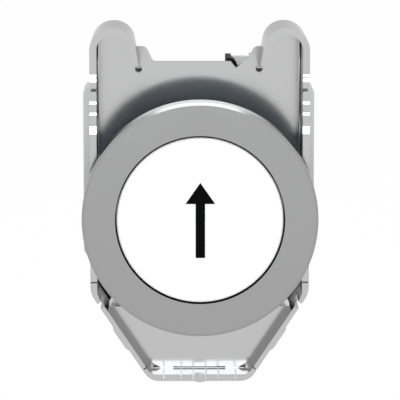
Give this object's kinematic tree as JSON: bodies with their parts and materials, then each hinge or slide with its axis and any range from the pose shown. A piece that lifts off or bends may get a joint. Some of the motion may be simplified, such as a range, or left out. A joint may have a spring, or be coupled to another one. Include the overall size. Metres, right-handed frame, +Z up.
{
  "type": "panel push button",
  "caption": "Spring-return push button with a round metal bezel, up-arrow cap, deep eared mounting bracket and clip-on contact blocks.",
  "frame": {"origin": "centre of the panel hole, in the plane of the bezel's rear face that seats on the panel's front", "axes": "+Z up, +X to the right seen from the front, +Y to the rear through the panel; the button faces -Y"},
  "size_m": [0.0304, 0.0464, 0.046],
  "materials": {
    "bezel_metal": "satin",
    "grey_rubber": "matte",
    "black_plastic": "matte",
    "spring_steel": "bright",
    "bracket_steel": "satin",
    "collar_metal": "satin",
    "screw_steel": "bright zinc",
    "white_plastic": "satin",
    "lever_plastic": "matte",
    "housing_plastic": "matte",
    "cover_plastic": "matte",
    "contact_brass": "bright",
    "clamp_steel": "zinc",
    "plunger_green": "satin",
    "latch_green": "translucent satin",
    "latch_clear": "translucent satin"
  },
  "bodies": {
    "unit": {"bezel": "bezel_metal", "panel_gasket": "grey_rubber", "button_guide": "black_plastic", "return_spring": "spring_steel", "mounting_bracket": "bracket_steel", "fixing_collar": "collar_metal", "retainer_plate": "bracket_steel", "collar_screws": "screw_steel", "left_block_housing": "housing_plastic", "left_block_cover": "cover_plastic", "left_fixed_contact_upper": "contact_brass", "left_fixed_contact_lower": "contact_brass", "left_terminal_screws": "screw_steel", "left_terminal_clamps": "clamp_steel", "left_plunger_spring": "spring_steel", "right_block_housing": "housing_plastic", "right_block_cover": "cover_plastic", "right_fixed_contact_upper": "contact_brass", "right_fixed_contact_lower": "contact_brass", "right_terminal_screws": "screw_steel", "right_terminal_clamps": "clamp_steel", "right_plunger_spring": "spring_steel"},
    "button": {"button_cap": "white_plastic", "button_plunger": "black_plastic"},
    "lock_ring": {"lock_ring": "lever_plastic"},
    "left_contact": {"left_contact_plunger": "plunger_green", "left_bridge_spring": "spring_steel"},
    "left_bridge": {"left_moving_bridge": "contact_brass"},
    "left_latch": {"left_block_latch": "latch_green"},
    "right_contact": {"right_contact_plunger": "plunger_green", "right_bridge_spring": "spring_steel"},
    "right_bridge": {"right_moving_bridge": "contact_brass"},
    "right_latch": {"right_block_latch": "latch_clear"}
  },
  "joints": [
    {"name": "button_press", "type": "slide", "parent": "unit", "child": "button", "axis": [0, 1, 0], "range_m": [0, 0.0043], "stiffness_N_per_m": 500, "springref_m": -0.002, "deforming": ["return_spring"]},
    {"name": "lock_ring_turn", "type": "hinge", "parent": "unit", "child": "lock_ring", "pos_m": [0, 0.018, 0], "axis": [0, -1, 0], "range_deg": [0, 30]},
    {"name": "left_contact_press", "type": "slide", "parent": "unit", "child": "left_contact", "axis": [0, 1, 0], "range_m": [0, 0.0043], "deforming": ["left_plunger_spring"]},
    {"name": "left_bridge_travel", "type": "slide", "parent": "unit", "child": "left_bridge", "axis": [0, 1, 0], "range_m": [0, 0.00258], "deforming": ["left_bridge_spring"]},
    {"name": "left_latch_lift", "type": "hinge", "parent": "unit", "child": "left_latch", "pos_m": [-0.0075, 0.0386, 0.0157], "axis": [-1, 0, 0], "range_deg": [0, 8], "stiffness_Nm_per_rad": 0.02, "springref_deg": -5.73},
    {"name": "right_contact_press", "type": "slide", "parent": "unit", "child": "right_contact", "axis": [0, 1, 0], "range_m": [0, 0.0043], "deforming": ["right_plunger_spring"]},
    {"name": "right_bridge_travel", "type": "slide", "parent": "unit", "child": "right_bridge", "axis": [0, 1, 0], "range_m": [0, 0.00258], "deforming": ["right_bridge_spring"]},
    {"name": "right_latch_lift", "type": "hinge", "parent": "unit", "child": "right_latch", "pos_m": [0.0075, 0.0386, 0.0157], "axis": [-1, 0, 0], "range_deg": [0, 8], "stiffness_Nm_per_rad": 0.02, "springref_deg": -5.73}
  ],
  "couplings": [
    {"joint": "left_contact_press", "follows": "button_press", "ratio": 1},
    {"joint": "left_bridge_travel", "follows": "button_press", "ratio": 0.6},
    {"joint": "right_contact_press", "follows": "button_press", "ratio": 1},
    {"joint": "right_bridge_travel", "follows": "button_press", "ratio": 0.6}
  ]
}
